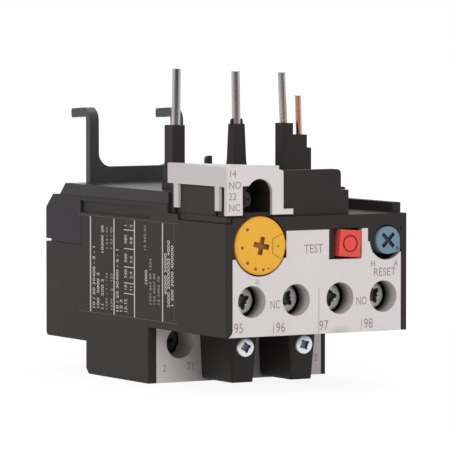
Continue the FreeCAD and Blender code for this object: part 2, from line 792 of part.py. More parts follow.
def pass_through_screw():
    x, y, z = pass_through_place()
    head = rod_y(sum(x) / 2, sum(z) / 2, 1.6, (y[0] - 1.0, y[0]))
    shank = rod_y(sum(x) / 2, sum(z) / 2, 1.0, (y[0], y[0] + 2.4))
    recess = cross_recess(sum(x) / 2, sum(z) / 2, y[0] - 1.0, 1.1, 0.5, 0.4)
    return joined([head, shank]).cut(recess)


# ---------------------------------------------------------------- pins, sleeves and hooks

def root_bore(x, radius, z):
    """Hole for the slimmer root of a pin of the given radius."""
    return rod_z(x, pin_y, radius - pin_root_step + run_gap, z)


def pin_seat_z(index):
    """Height that a pin's full radius starts from: on the middle one, the top of the tab."""
    return sleeve_top_z + (sleeve_ear[2] if index == 1 else 0)


def sleeve_block(index, z):
    """Tapered square sleeve: a straight upper part that flares towards the cover."""
    def ring(middle, half, depth, height):
        return outline([(middle - half, pin_y - depth), (middle + half, pin_y - depth),
                        (middle + half, pin_y + depth), (middle - half, pin_y + depth)],
                       lambda p: V(p.x, p.y, height))
    x = sleeve_xs[index]
    half_top, half_foot = sleeve_half_widths[index]
    depth_top, depth_foot = sleeve_half_depths[index]
    draft = sleeve_drafts[index]
    top = ring(x, half_top, depth_top, z[1])
    waist = ring(x, half_top + draft, depth_top + draft, sleeve_flare_z)
    foot = ring(x + sleeve_foot_shifts[index], half_foot, depth_foot, z[0])
    return joined([Part.makeLoft([waist, top], True), Part.makeLoft([foot, waist], True)])


def sleeve_ears():
    """Tab across the middle pin, of which an ear shows on each side."""
    half, depth, height = sleeve_ear
    top = pin_seat_z(1)
    return prism_y([(sleeve_xs[1] - half, sleeve_top_z - 1), (sleeve_xs[1] + half, sleeve_top_z - 1),
                    (sleeve_xs[1] + half, top, height / 2), (sleeve_xs[1] - half, top, height / 2)],
                   around(pin_y, depth))


def pin_sleeve(index):
    x = sleeve_xs[index]
    body = sleeve_block(index, (cover_top_z, sleeve_top_z))
    bores = [root_bore(pin_xs[index], pin_radii[index], (cover_top_z - 1, pin_seat_z(index) + 1))]
    if index == 1:
        body = joined([body, sleeve_ears()])
    if index == 2:
        y = around(pin_y, sleeve_half_depths[index][0])
        body = joined([
            body,
            box((x, coil_x + coil_block_reach), y, (cover_top_z, coil_sleeve_top_z)),
            box((x, coil_x + coil_step_reach), y, (cover_top_z, coil_step_top_z)),
        ])
        bores.append(root_bore(coil_x, coil_radius, (cover_top_z - 1, sleeve_top_z + 1)))
    return body.cut(bores)


def stepped_pin(x, radius, seat_z, top_z):
    """Bright pin that stands on its sleeve, with a slimmer root inside it."""
    chamfer = radius / 4
    tip = rod_z(x, pin_y, radius, (seat_z, top_z))
    tip = tip.makeChamfer(chamfer, [e for e in tip.Edges if e.BoundBox.ZMin > top_z - chamfer])
    root = rod_z(x, pin_y, radius - pin_root_step, (busbar_z + busbar_thickness, seat_z))
    return joined([root, tip])


def contact_pin(index):
    return stepped_pin(pin_xs[index], pin_radii[index], pin_seat_z(index), pin_top_zs[index])


def coil_lead():
    return stepped_pin(coil_x, coil_radius, coil_sleeve_top_z, coil_top_z)


def line_busbar(index):
    """Strip from the pin's foot back and down to the heater."""
    pin_x = pin_xs[index]
    pole_x = pole_xs[index]
    z = (busbar_z, busbar_z + busbar_thickness)
    half = busbar_width / 2
    foot_front = pin_y - busbar_foot_width / 2
    foot_rear = foot_front + busbar_foot_length
    drop_rear = busbar_drop_y + busbar_thickness
    jog = (min(pin_x, pole_x) - half, max(pin_x, pole_x) + half)
    return joined([
        box(around(pin_x, busbar_foot_width / 2), (foot_front, foot_rear), z),
        box(jog, (foot_rear - busbar_width, foot_rear), z),
        box(around(pole_x, half), (foot_rear - busbar_width, drop_rear), z),
        box(around(pole_x, half), (busbar_drop_y, drop_rear), (busbar_drop_z, z[1])),
    ])


def hook_side(top):
    """Upright that bends to the rear at its top, seen from the side."""
    rear = hook_front_y + hook_thickness
    return [
        (hook_front_y, hook_bar_top_z - 1), (hook_front_y, top, hook_bend_radius),
        (case_depth, top - hook_droop, hook_tip_radius),
        (case_depth, top - hook_droop - hook_arm_thickness, hook_tip_radius),
        (rear, top - hook_arm_thickness, 0.5), (rear, hook_bar_top_z - 1),
    ]


def hook_frame():
    rear = hook_front_y + hook_thickness
    bar = box(hook_bar_x, (hook_front_y, rear), (shoulder_z + fit_gap, hook_bar_top_z))
    left = (hook_bar_x[0], hook_bar_x[0] + hook_post_width)
    right = (hook_bar_x[1] - hook_post_width, hook_bar_x[1])
    arms = [prism_x(hook_side(top), x) for x, top in zip((left, right), hook_top_zs)]
    fillets = []
    for x, turn in ((left[1], 1), (right[0], -1)):
        block = box(sorted((x, x + turn * hook_fillet)), (hook_front_y, rear),
                    (hook_bar_top_z, hook_bar_top_z + hook_fillet))
        round_out = rod_y(x + turn * hook_fillet, hook_bar_top_z + hook_fillet, hook_fillet,
                          (hook_front_y - 1, rear + 1))
        fillets.append(block.cut(round_out))
    return joined([bar] + arms + fillets)


# ---------------------------------------------------------------- dial, button, knob

def setting_dial():
    disc = rod_y(dial_x, dial_z, dial_radius, (-dial_stand_out, dial_thickness - dial_stand_out))
    disc = disc.makeChamfer(dial_chamfer, [disc.Edges[2]])
    stem = rod_y(dial_x, dial_z, dial_stem_radius, (0, dial_stem_end))
    cam = rod_y(dial_x + dial_cam_offset, dial_z, dial_cam_radius - dial_cam_offset,
                (dial_stem_end - dial_cam_thickness, dial_stem_end))
    recess = cross_recess(dial_x, dial_z, -dial_stand_out - 0.1, dial_driver_length / 2,
                          dial_driver_depth + 0.1, dial_driver_width)
    recess.rotate(V(dial_x, 0, dial_z), V(0, 1, 0), dial_driver_turn)
    return joined([disc, stem, cam]).cut(recess)


def test_button():
    cap = box(button_x, (-button_stand_out, button_body_end), button_z)
    front_edges = [e for e in cap.Edges if e.BoundBox.YMax < 0]
    cap = cap.makeFillet(0.25, front_edges)
    cap.rotate(V(sum(button_x) / 2, 0, sum(button_z) / 2), V(0, 1, 0), button_turn)
    ring_y = (-button_stand_out - 0.1, -button_stand_out + 0.3)
    ring = rod_y(button_stem_x, button_stem_z, button_ring_radius, ring_y)
    ring = ring.cut(rod_y(button_stem_x, button_stem_z, button_ring_radius - 0.35, ring_y))
    stem = rod_y(button_stem_x, button_stem_z, button_stem_radius, (0, button_stem_end))
    return joined([cap, stem]).cut(ring)


def test_spring():
    radius = button_stem_radius + run_gap + spring_wire / 2
    y = (button_body_end + run_gap, button_body_end + button_spring_length)
    return coil(button_stem_x, button_stem_z, radius, y, button_spring_turns)


def reset_knob():
    head_y = (-knob_stand_out, knob_head - knob_stand_out)
    pointer = [(knob_x, knob_z), (knob_x + knob_radius, knob_z),
               (knob_x + knob_corner[0], knob_z - knob_corner[1], 0.3), (knob_x, knob_z - knob_radius)]
    body = joined([rod_y(knob_x, knob_z, knob_radius, (-knob_stand_out, knob_back)),
                   prism_y(pointer, head_y)])
    recess = cross_recess(knob_x, knob_z, -knob_stand_out - 0.1, knob_recess_reach,
                          knob_recess_depth + 0.1, knob_recess_width)
    recess.rotate(V(knob_x, 0, knob_z), V(0, 1, 0), 45)
    notch = rod_y(knob_x + knob_corner[0] * 0.75, knob_z - knob_corner[1] * 0.75, 0.4,
                  (-knob_stand_out - 0.1, -knob_stand_out + 0.4))
    socket = rod_y(knob_x, knob_z, plunger_nose_radius + run_gap,
                   (knob_back - knob_socket_depth, knob_back + 1))
    return body.cut([recess, notch, socket])


def reset_plunger():
    collar_y = (knob_back + run_gap, knob_back + run_gap + plunger_collar)
    return joined([
        rod_y(knob_x, knob_z, plunger_nose_radius, (knob_back - knob_socket_depth + fit_gap, plunger_end)),
        rod_y(knob_x, knob_z, plunger_collar_radius, collar_y),
        rod_y(knob_x, knob_z, plunger_radius, (collar_y[0], plunger_end)),
    ])


def reset_spring():
    start = knob_back + 2 * run_gap + plunger_collar
    radius = plunger_radius + run_gap + spring_wire / 2
    return coil(knob_x, knob_z, radius, (start, start + reset_spring_length), reset_spring_turns)


# ---------------------------------------------------------------- auxiliary terminals and contacts

def aux_terminal(x):
    """Clamp cage: threaded front wall, wire room behind it, open at the bottom."""
    room_y = aux_cage_front_y + aux_cage_front_wall
    rear = room_y + aux_wire_gap
    cage = box(around(x, aux_cage_half_width), (aux_cage_front_y, rear + aux_cage_wall),
               (front_inside_z + fit_gap, aux_cage_top_z))
    room = box(around(x, aux_cage_half_width - aux_cage_wall), (room_y, rear),
               (front_inside_z - 1, aux_cage_top_z - aux_cage_wall))
    thread = rod_y(x, aux_z, aux_thread_radius + run_gap, (aux_cage_front_y - 1, room_y + 1))
    return cage.cut([room, thread])


def aux_screw(x):
    head_y = (aux_cage_front_y - aux_head_height, aux_cage_front_y - fit_gap)
    head = rod_y(x, aux_z, aux_head_radius, head_y)
    shank = rod_y(x, aux_z, aux_thread_radius, (head_y[1], aux_cage_front_y + aux_cage_front_wall - fit_gap))
    recess = cross_recess(x, aux_z, head_y[0], aux_head_radius * 0.7, aux_head_height / 2, 0.7)
    return joined([head, shank]).cut(recess)


def fixed_contact(terminal_x, row_y, tip_x):
    """Strip from the top of a terminal cage, back and across to an upturned contact tip."""
    z = (aux_cage_top_z + fit_gap, aux_cage_top_z + fit_gap + contact_strip)
    back = row_y + contact_row_width
    lead = box(around(terminal_x, contact_lead_width / 2),
               (aux_cage_front_y + contact_lead_setback, back), z)
    across = box((min(terminal_x, tip_x[0]), max(terminal_x, tip_x[1])), (row_y, back), z)
    tip = box(tip_x, (row_y, back), (z[0], bridge_z[1]))
    return joined([lead, across, tip])


def nc_tip_x():
    face = nc_bridge_x + bridge_thickness / 2 + touch_gap
    return face, face + bridge_thickness


def no_tip_x():
    face = no_bridge_x - bridge_thickness / 2 - contact_travel - touch_gap
    return face - bridge_thickness, face


def contact_rows():
    """Front rows of the two contact tips that one bridge joins."""
    return bridge_y[0], bridge_y[1] - contact_row_width


def nc_fixed_contacts():
    rows = contact_rows()
    return Part.Compound([fixed_contact(aux_xs[0], rows[0], nc_tip_x()),
                          fixed_contact(aux_xs[1], rows[1], nc_tip_x())])


def no_fixed_contacts():
    rows = contact_rows()
    return Part.Compound([fixed_contact(aux_xs[2], rows[0], no_tip_x()),
                          fixed_contact(aux_xs[3], rows[1], no_tip_x())])


def bridge(x):
    return box(around(x, bridge_thickness / 2), bridge_y, bridge_z)


def carrier_right():
    return lever_x - lever_arm_width / 2 - touch_gap


def contact_carrier():
    bar = box((carrier_left, carrier_right()), carrier_y, carrier_z)
    stems = [box(around(x, 0.6), (carrier_y[0] + 0.4, carrier_y[1] - 0.6), (bridge_z[1], carrier_z[0]))
             for x in (nc_bridge_x, no_bridge_x)]
    return joined([bar] + stems)


def contact_base():
    """Moulded plate behind the contacts, with two lugs that guide the carrier."""
    plate = box(contact_base_x, contact_base_y, (front_inside_z + fit_gap, carrier_z[1]))
    lug_y = (carrier_y[0] - move_gap, contact_base_y[1])
    lug_z = (carrier_z[0] - guide_lug_height, carrier_z[0] - run_gap)
    lug_xs = ((nc_bridge_x + no_bridge_x) / 2 - guide_lug_from_middle,
              no_bridge_x + guide_lug_from_bridge)
    lugs = [box(around(x, guide_lug_width / 2), lug_y, lug_z) for x in lug_xs]
    return joined([plate] + lugs)


# ---------------------------------------------------------------- trip mechanism

def trip_slide():
    z = (slide_z, slide_z + slide_thickness)
    tab_x = lever_x - strip_thickness / 2 - touch_gap
    bar = box((slide_left, slide_right), slide_y, z)
    tab = box((tab_x - slide_tab_width, tab_x), (slide_tab_front_y, slide_y[0]), z)
    slots = []
    for x in pole_xs:
        left = x - strip_thickness / 2 - move_gap - trip_travel
        slots.append(box((left, x + strip_thickness / 2 + move_gap),
                         around(bimetal_y, bimetal_width / 2 + move_gap), (z[0] - 1, z[1] + 1)))
    return joined([bar, tab]).cut(slots)


def lever_levels():
    """Height range of the lever's two arms inside its hub."""
    middle = lever_hub_bottom_z + lever_hub_height / 2
    return around(middle, lever_arm_height / 2)


def trip_lever():
    hub_z = (lever_hub_bottom_z, lever_hub_bottom_z + lever_hub_height)
    tip_y = lever_y - lever_push_radius - 0.4
    hub = rod_z(lever_x, lever_y, lever_hub_radius, hub_z)
    arm = box(around(lever_x, lever_arm_width / 2), (tip_y, lever_y), lever_levels())
    bore = rod_z(lever_x, lever_y, lever_pin_radius + run_gap, (hub_z[0] - 1, hub_z[1] + 1))
    return joined([hub, arm]).cut(bore)


def compensation_strip():
    start = lever_y + lever_hub_radius
    height = (slide_z - strip_drop, slide_z + slide_thickness + strip_rise)
    return box(around(lever_x, strip_thickness / 2), (start, lever_y + lever_drive_radius + 0.6), height)


def lever_pin():
    foot = lever_hub_bottom_z - move_gap - lever_pin_socket
    return rod_z(lever_x, lever_y, lever_pin_radius, (foot, lever_pin_top_z))


# ---------------------------------------------------------------- main poles

def main_terminal(x):
    room_y = main_cage_front_y + main_cage_front_wall
    rear = room_y + main_wire_gap
    cage = box(around(x, main_cage_half_width), (main_cage_front_y, rear + main_cage_wall),
               (main_cage_bottom_z, main_cage_top_z))
    room = box(around(x, main_cage_half_width - main_cage_wall), (room_y, rear),
               (main_cage_bottom_z - 1, main_cage_top_z - 0.8))
    thread = rod_y(x, main_z, main_thread_radius + run_gap, (main_cage_front_y - 1, room_y + 1))
    return cage.cut([room, thread])


def terminal_screw(x):
    head_y = (main_cage_front_y - main_head_height, main_cage_front_y - fit_gap)
    head = rod_y(x, main_z, main_head_radius, head_y)
    shank = rod_y(x, main_z, main_thread_radius,
                  (head_y[1], main_cage_front_y + main_cage_front_wall - fit_gap))
    recess = cross_recess(x, main_z, head_y[0], main_head_radius * 0.7, main_head_height / 2, 0.8)
    return joined([head, shank]).cut(recess)


def bimetal(x):
    """Upright strip on a foot that lies on the terminal cage."""
    foot_z = (main_cage_top_z + run_gap, main_cage_top_z + run_gap + bimetal_foot)
    foot = box(around(x, bimetal_foot_half_width),
               (main_cage_front_y + bimetal_foot_start, bimetal_y + bimetal_width / 2), foot_z)
    strip = box(around(x, strip_thickness / 2), around(bimetal_y, bimetal_width / 2),
                (foot_z[0], bimetal_top_z))
    return joined([foot, strip])


def heater(x):
    """Heater ribbon wound round the bimetal, with its two ends on a front spine."""
    inner_half = strip_thickness / 2 + move_gap
    inner_depth = bimetal_width / 2 + move_gap
    foot_top = main_cage_top_z + run_gap + bimetal_foot
    top = heater_bottom_z + (heater_turns - 1) * heater_pitch + heater_ribbon
    front = bimetal_y - inner_depth - heater_wire
    pieces = []
    for turn in range(heater_turns):
        z = heater_bottom_z + turn * heater_pitch
        ring = box(around(x, inner_half + heater_wire), around(bimetal_y, inner_depth + heater_wire),
                   (z, z + heater_ribbon))
        pieces.append(ring.cut(box(around(x, inner_half), around(bimetal_y, inner_depth),
                                   (z - 1, z + heater_ribbon + 1))))
    pieces.append(box(around(x, 0.8), (front - 0.4, front + heater_wire), (foot_top + fit_gap, top)))
    pieces.append(box(around(x, 0.8), (busbar_drop_y + busbar_thickness + fit_gap, front),
                      (top - heater_ribbon, top)))
    return joined(pieces)


def main():
    os.makedirs("parts", exist_ok=True)
    save("housing_body", housing_body())
    save("rear_cap", rear_cap())
    save("top_cover", top_cover())
    save("front_cover", front_cover())
    save("terminal_face", terminal_face())
    for side, centre in zip(("left", "right"), post_centres):
        save("barrier_post_" + side, barrier_post(centre))
        save("post_screw_" + side, post_screw(centre))
    save("top_carrier", top_carrier())
    save("aux_block", aux_block())
    save("pass_through_terminal", pass_through_terminal())
    save("pass_through_screw", pass_through_screw())
    save("hook_frame", hook_frame())
    save("coil_lead", coil_lead())
    for index, x in enumerate(pole_xs):
        number = "_" + str(index + 1)
        save("pin_sleeve" + number, pin_sleeve(index))
        save("contact_pin" + number, contact_pin(index))
        save("line_busbar" + number, line_busbar(index))
        save("main_terminal" + number, main_terminal(x))
        save("terminal_screw" + number, terminal_screw(x))
        save("bimetal" + number, bimetal(x))
        save("heater" + number, heater(x))
    for index, x in enumerate(aux_xs):
        save("aux_terminal_" + str(index + 1), aux_terminal(x))
        save("aux_screw_" + str(index + 1), aux_screw(x))
    save("setting_dial", setting_dial())
    save("test_button", test_button())
    save("test_spring", test_spring())
    save("reset_knob", reset_knob())
    save("reset_plunger", reset_plunger())
    save("reset_spring", reset_spring())
    save("nc_fixed_contacts", nc_fixed_contacts())
    save("no_fixed_contacts", no_fixed_contacts())
    save("contact_base", contact_base())
    save("contact_carrier", contact_carrier())
    save("nc_bridge", bridge(nc_bridge_x))
    save("no_bridge", bridge(no_bridge_x))
    save("trip_slide", trip_slide())
    save("trip_lever", trip_lever())
    save("lever_pin", lever_pin())
    save("compensation_strip", compensation_strip())


main()
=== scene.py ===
import math

import bmesh
import bpy
from mathutils import Matrix, Vector


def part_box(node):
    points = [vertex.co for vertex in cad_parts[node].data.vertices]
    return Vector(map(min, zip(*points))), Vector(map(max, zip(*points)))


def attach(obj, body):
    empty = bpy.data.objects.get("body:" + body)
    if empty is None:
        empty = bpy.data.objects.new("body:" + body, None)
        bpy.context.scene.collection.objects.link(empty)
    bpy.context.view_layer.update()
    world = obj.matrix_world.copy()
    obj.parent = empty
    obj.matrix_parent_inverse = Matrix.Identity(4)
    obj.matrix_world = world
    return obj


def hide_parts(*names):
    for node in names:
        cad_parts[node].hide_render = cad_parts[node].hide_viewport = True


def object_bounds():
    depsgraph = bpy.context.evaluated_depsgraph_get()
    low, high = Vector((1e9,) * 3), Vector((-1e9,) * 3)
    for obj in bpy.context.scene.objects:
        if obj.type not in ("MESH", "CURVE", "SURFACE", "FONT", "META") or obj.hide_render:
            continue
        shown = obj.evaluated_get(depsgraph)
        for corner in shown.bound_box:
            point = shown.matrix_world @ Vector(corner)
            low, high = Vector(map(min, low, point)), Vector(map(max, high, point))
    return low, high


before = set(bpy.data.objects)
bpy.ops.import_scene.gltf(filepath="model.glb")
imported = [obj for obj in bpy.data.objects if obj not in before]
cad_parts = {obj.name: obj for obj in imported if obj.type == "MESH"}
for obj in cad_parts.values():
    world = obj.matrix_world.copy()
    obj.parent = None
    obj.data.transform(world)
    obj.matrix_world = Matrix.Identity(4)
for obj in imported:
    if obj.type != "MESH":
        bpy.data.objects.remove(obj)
cad_box = [list(corner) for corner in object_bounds()]
MM = 0.001


# ---------------------------------------------------------------- housing, caps, sleeves and posts
# The black tub, its rear cap, the top cover with the pin sleeves, and the two barrier posts are
# injection moulded in glass-filled polyamide.  Spark-eroded moulds leave a fine matt grain, and
# every outer edge has a small radius.

class Value:
    """A shader socket. Arithmetic on it adds Math nodes to its material."""

    def __init__(self, tree, socket=None):
        self.tree = tree
        self.socket = socket

    def node(self, kind, settings, inputs, output=0):
        made = self.tree.nodes.new(kind)
        for name, value in settings.items():
            setattr(made, name, value)
        for name, value in inputs.items():
            if isinstance(value, Value):
                self.tree.links.new(value.socket, made.inputs[name])
            else:
                made.inputs[name].default_value = value
        return Value(self.tree, made.outputs[output])

    def math(self, operation, first, second=0.0):
        return self.node("ShaderNodeMath", {"operation": operation}, {0: first, 1: second})

    def __add__(self, other):
        return self.math("ADD", self, other)

    def __sub__(self, other):
        return self.math("SUBTRACT", self, other)

    def __rsub__(self, other):
        return self.math("SUBTRACT", other, self)

    def __mul__(self, other):
        return self.math("MULTIPLY", self, other)

    __radd__ = __add__
    __rmul__ = __mul__

    def ramp(self, start, end):
        """0 up to the start, 1 from the end on."""
        return self.node("ShaderNodeMapRange", {"interpolation_type": "SMOOTHSTEP"},
                         {0: self, 1: start, 2: end, 3: 0.0, 4: 1.0})

    def mixed(self, factor, first, second):
        """Colour between two colours."""
        return self.node("ShaderNodeMix", {"data_type": "RGBA"},
                         {0: factor, 6: first, 7: second}, 2)


def srgb(red, green, blue):
    """Linear colour with alpha from 8-bit display values."""
    def linear(channel):
        share = channel / 255
        return share / 12.92 if share <= 0.04045 else ((share + 0.055) / 1.055) ** 2.4
    return linear(red), linear(green), linear(blue), 1.0


def new_material(name):
    """An empty node material: its Principled shader and a Value to build nodes from."""
    material = bpy.data.materials.new(name)
    material.use_nodes = True
    shader = material.node_tree.nodes["Principled BSDF"]
    return material, shader, Value(material.node_tree)


def feed(shader, name, value):
    """Links a value to a socket of the shader."""
    value.tree.links.new(value.socket, shader.inputs[name])


def shade(colour, factor):
    """The colour made darker or lighter, with full alpha."""
    return tuple(min(1.0, channel * factor) for channel in colour[:3]) + (1.0,)


def drifting(make, slow, place, colour, drift, patches):
    """Colour that drifts slowly over the surface, with patches laid over it.

    Each patch is a colour and a function that makes its mask from the object's coordinates.
    """
    tone = make.mixed(slow, shade(colour, 1 - drift), shade(colour, 1 + drift))
    for patch_colour, mask in patches:
        tone = make.mixed(mask(make, place), tone, patch_colour)
    return tone


def relief(make, shader, height, strength, depth, edge):
    """Fine relief on softened edges; its depth and the edges' radius are in mm."""
    rounded = make.node("ShaderNodeBevel", {"samples": 4}, {"Radius": edge * MM})
    feed(shader, "Normal", make.node("ShaderNodeBump", {}, {
        "Strength": strength, "Distance": depth * MM, "Height": height, "Normal": rounded}))


GRAIN_SIZE = 0.35        # of the mould's erosion grain, in mm
GRAIN_DEPTH = 0.012
PLASTIC_DRIFT = 90.0     # cycles per metre of the slow colour drift


def moulded(name, colour, roughness, grain=0.5, drift=0.12, edge=0.12, gloss=0.5, patches=()):
    """Moulded plastic: slow colour drift, a fine erosion grain and softened edges."""
    material, shader, make = new_material(name)
    place = make.node("ShaderNodeTexCoord", {}, {}, "Object")
    slow = make.node("ShaderNodeTexNoise", {},
                     {"Vector": place, "Scale": PLASTIC_DRIFT, "Detail": 3.0})
    fine = make.node("ShaderNodeTexNoise", {}, {"Vector": place, "Scale": 1 / (GRAIN_SIZE * MM),
                                                "Detail": 2.0, "Roughness": 0.6})
    feed(shader, "Base Color", drifting(make, slow, place, colour, drift, patches))
    feed(shader, "Roughness", roughness + (slow - 0.5) * 0.12 + (fine - 0.5) * 0.1)
    relief(make, shader, fine, grain, GRAIN_DEPTH, edge)
    shader.inputs["Specular IOR Level"].default_value = gloss
    return material


def finish_node(name, material):
    """Gives a CAD node its final material."""
    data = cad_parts[name].data
    data.materials.clear()
    data.materials.append(material)


black = moulded("black_polyamide", srgb(47, 42, 41), 0.5, grain=0.45, gloss=0.15)
for node in ("housing_body", "aux_block", "reset_plunger", "trip_slide", "trip_lever",
             "contact_carrier", "pin_sleeve_1", "pin_sleeve_2", "pin_sleeve_3"):
    finish_node(node, black)
# Painted light: the posts get a lighter copy of the same black, so that they read as brighter lit.
lit_rounded_black = moulded("lit_rounded_black_polyamide", srgb(55, 52, 50), 0.5, grain=0.45, edge=1.3,
                        gloss=0.15)
for node in ("barrier_post_left", "barrier_post_right"):
    finish_node(node, lit_rounded_black)
finish_node("rear_cap", moulded("black_purple_polyamide", srgb(46, 42, 46), 0.48, grain=0.4,
                                gloss=0.15))
finish_node("top_cover", moulded("black_satin_polyamide", srgb(44, 40, 41), 0.3, grain=0.3,
                                 gloss=0.15))


# ---------------------------------------------------------------- hook frame
# The frame behind the top cover is one bent steel stamping with a black plastic coat, so it is
# a little smoother than the mouldings beside it.

finish_node("hook_frame", moulded("black_coated_steel", srgb(56, 54, 55), 0.42, grain=0.2,
                                  gloss=0.4))


# ---------------------------------------------------------------- front cover, terminal face
# Light grey covers snap over the terminal screws.  They are moulded in polycarbonate and carry
# the terminal numbers in thin grey-brown pad print.

# Places on the front are measured from the cover's face and from a level just under the posts.
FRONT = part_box("front_cover")[0].y / MM
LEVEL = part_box("barrier_post_left")[0].z / MM - 0.25


def oval(x, z, half_width, half_height, soft=0.3):
    """Mask maker: 1 inside an oval with a soft edge, seen from the front; all in mm."""
    def mask(make, place):
        offset = make.node("ShaderNodeVectorMath", {"operation": "SUBTRACT"},
                           {0: place, 1: (x * MM, 0, z * MM)})
        scaled = make.node("ShaderNodeVectorMath", {"operation": "MULTIPLY"},
                           {0: offset, 1: (1 / (half_width * MM), 0, 1 / (half_height * MM))})
        away = make.node("ShaderNodeVectorMath", {"operation": "LENGTH"}, {0: scaled}, 1)
        return 1 - away.ramp(1 - soft, 1)
    return mask


def behind(start, end):
    """Mask maker: rises from 0 to 1 between two depths along Y, in mm."""
    def mask(make, place):
        return make.node("ShaderNodeSeparateXYZ", {}, {0: place}, 1).ramp(start * MM, end * MM)
    return mask


# Shade is painted deep in the screw holes, darker with depth, and painted shade also darkens
# one shallow scoop on the cover that the mesh does not have.
GREY = srgb(208, 200, 201)
# Painted shade: the cover grows darker deeper inside its screw holes.
painted_hole_shade = (srgb(84, 78, 77), behind(FRONT + 1.0, FRONT + 4.2))
# Painted shade of a shallow scoop near the cover's lower edge.
painted_scoop_shade = (srgb(186, 179, 179), oval(5.9, 12.3 + LEVEL, 3.8, 1.5, 0.9))
finish_node("front_cover", moulded("light_grey_polycarbonate", GREY, 0.42, grain=0.25, drift=0.03,
                                   gloss=0.4, patches=[painted_hole_shade, painted_scoop_shade]))
finish_node("top_carrier", moulded("plain_grey_polycarbonate", GREY, 0.42, grain=0.25, drift=0.03,
                                   gloss=0.4))
finish_node("terminal_face", moulded("shaded_grey_polycarbonate", srgb(208, 198, 198), 0.45,
                                     grain=0.25, drift=0.04, gloss=0.35))


INK_SPECKLE = 2400.0     # cycles per metre
INK_FADING = 1.25
INK_THICKNESS = 0.006    # mm
LIFT = 0.008             # of the ink's underside above its face, in mm
CAPITAL_SHARE = 0.70     # height of a capital letter in the font's size


def ink(name, colour):
    """Thin printed ink with slightly uneven cover."""
    material, shader, make = new_material(name)
    place = make.node("ShaderNodeTexCoord", {}, {}, "Object")
    speckle = make.node("ShaderNodeTexNoise", {},
                        {"Vector": place, "Scale": INK_SPECKLE, "Detail": 2.0})
    feed(shader, "Base Color", make.mixed(speckle, colour, shade(colour, INK_FADING)))
    feed(shader, "Roughness", 0.6 + (speckle - 0.5) * 0.1)
    return material


def add_piece(name, mesh, material, body):
    """Makes a finished mesh a piece that rides on a body, with the given material."""
    mesh.materials.append(material)
    piece = bpy.data.objects.new(name, mesh)
    bpy.context.scene.collection.objects.link(piece)
    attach(piece, body)
    return piece


class Print:
    """One printed area: letters and rules on a plane, collected in a single mesh."""

    def __init__(self, origin, across, up):
        self.bm = bmesh.new()
        across = Vector(across)
        up = Vector(up)
        self.place = Matrix((across, up, across.cross(up))).transposed().to_4x4()
        self.place.translation = Vector(origin) * MM

    def words(self, text, size, x, y, stretch=1.0, weight=0.0):
        """Letters of a given capital height in mm, with their lower left corner at (x, y) mm.

        The weight thickens every stroke by so many mm on each side.
        """
        curve = bpy.data.curves.new("words", "FONT")
        curve.body = text
        curve.size = size * MM / CAPITAL_SHARE
        curve.offset = weight * MM
        curve.resolution_u = 3
        holder = bpy.data.objects.new("words", curve)
        mesh = bpy.data.meshes.new_from_object(holder)
        mesh.transform(self.place @ Matrix.Translation((x * MM, y * MM, 0))
                       @ Matrix.Diagonal((stretch, 1, 1, 1)))
        self.bm.from_mesh(mesh)
        bpy.data.objects.remove(holder)
        bpy.data.meshes.remove(mesh)
        bpy.data.curves.remove(curve)

    def rule(self, x, y):
        """Filled rectangle between the low and high x and y, in mm."""
        self.line([(x[0], sum(y) / 2), (x[1], sum(y) / 2)], y[1] - y[0])

    def line(self, spots, width):
        """Straight strokes from each (x, y) to the next, in mm."""
        for start, end in zip(spots, spots[1:]):
            start, end = Vector(start), Vector(end)
            side = (end - start).orthogonal().normalized() * width / 2
            corners = [start - side, end - side, end + side, start + side]
            self.bm.faces.new([self.bm.verts.new(self.place @ (c.to_3d() * MM)) for c in corners])

    def dot(self, x, y, radius):
        """Filled round spot, in mm."""
        bmesh.ops.create_circle(self.bm, cap_ends=True, segments=20, radius=radius * MM,
                                matrix=self.place @ Matrix.Translation((x * MM, y * MM, 0)))

    def piece(self, name, body, slot, material):
        """Gives the print its thickness and hands it over as a piece."""
        bmesh.ops.dissolve_limit(self.bm, angle_limit=0.02, verts=self.bm.verts,
                                 edges=self.bm.edges)
        bmesh.ops.recalc_face_normals(self.bm, faces=self.bm.faces)
        bmesh.ops.solidify(self.bm, geom=self.bm.faces, thickness=-INK_THICKNESS * MM)
        mesh = bpy.data.meshes.new(name)
        self.bm.to_mesh(mesh)
        self.bm.free()
        add_piece(name, mesh, material, body)


ACROSS, BACK, UP = (1, 0, 0), (0, 1, 0), (0, 0, 1)

brown_ink = ink("grey_brown_ink", srgb(134, 114, 112))
front_print = Print((0, FRONT - LIFT, LEVEL), ACROSS, UP)
for word, size, x, z, stretch in (("TEST", 1.85, -3.25, 29.15, 0.83),
                                  ("RESET", 1.7, 14.1, 23.7, 0.88),
                                  ("H", 1.4, 13.4, 25.65, 0.85),
                                  ("A", 1.4, 19.25, 25.6, 0.85)):
    front_print.words(word, size, x, z, stretch=stretch)
for x, word in ((-11.64, "NC"), (9.73, "NO")):
    front_print.words(word, 1.75, x, 17.7, stretch=0.7)
for x, z, word in ((-20.4, 12.85, "95"), (-10.15, 12.65, "96"), (0.5, 12.65, "97"),
                   (11.7, 12.65, "98")):
    front_print.words(word, 2.1, x, z, stretch=0.78)
HAIRLINE = 0.06          # half its width, in mm
for x, z in ((-10.79, (12.3, 14.7)), (0.47, (11.95, 21.6)), (11.1, (12.3, 14.7))):
    front_print.rule((x - HAIRLINE, x + HAIRLINE), z)
dial_pointer = [(-15.2, 23.1), (-14.1, 23.1), (-14.65, 24.1), (-15.2, 23.1)]
front_print.line(dial_pointer, 0.1)
front_print.piece("front_print", "case", "grey_plastic", brown_ink)

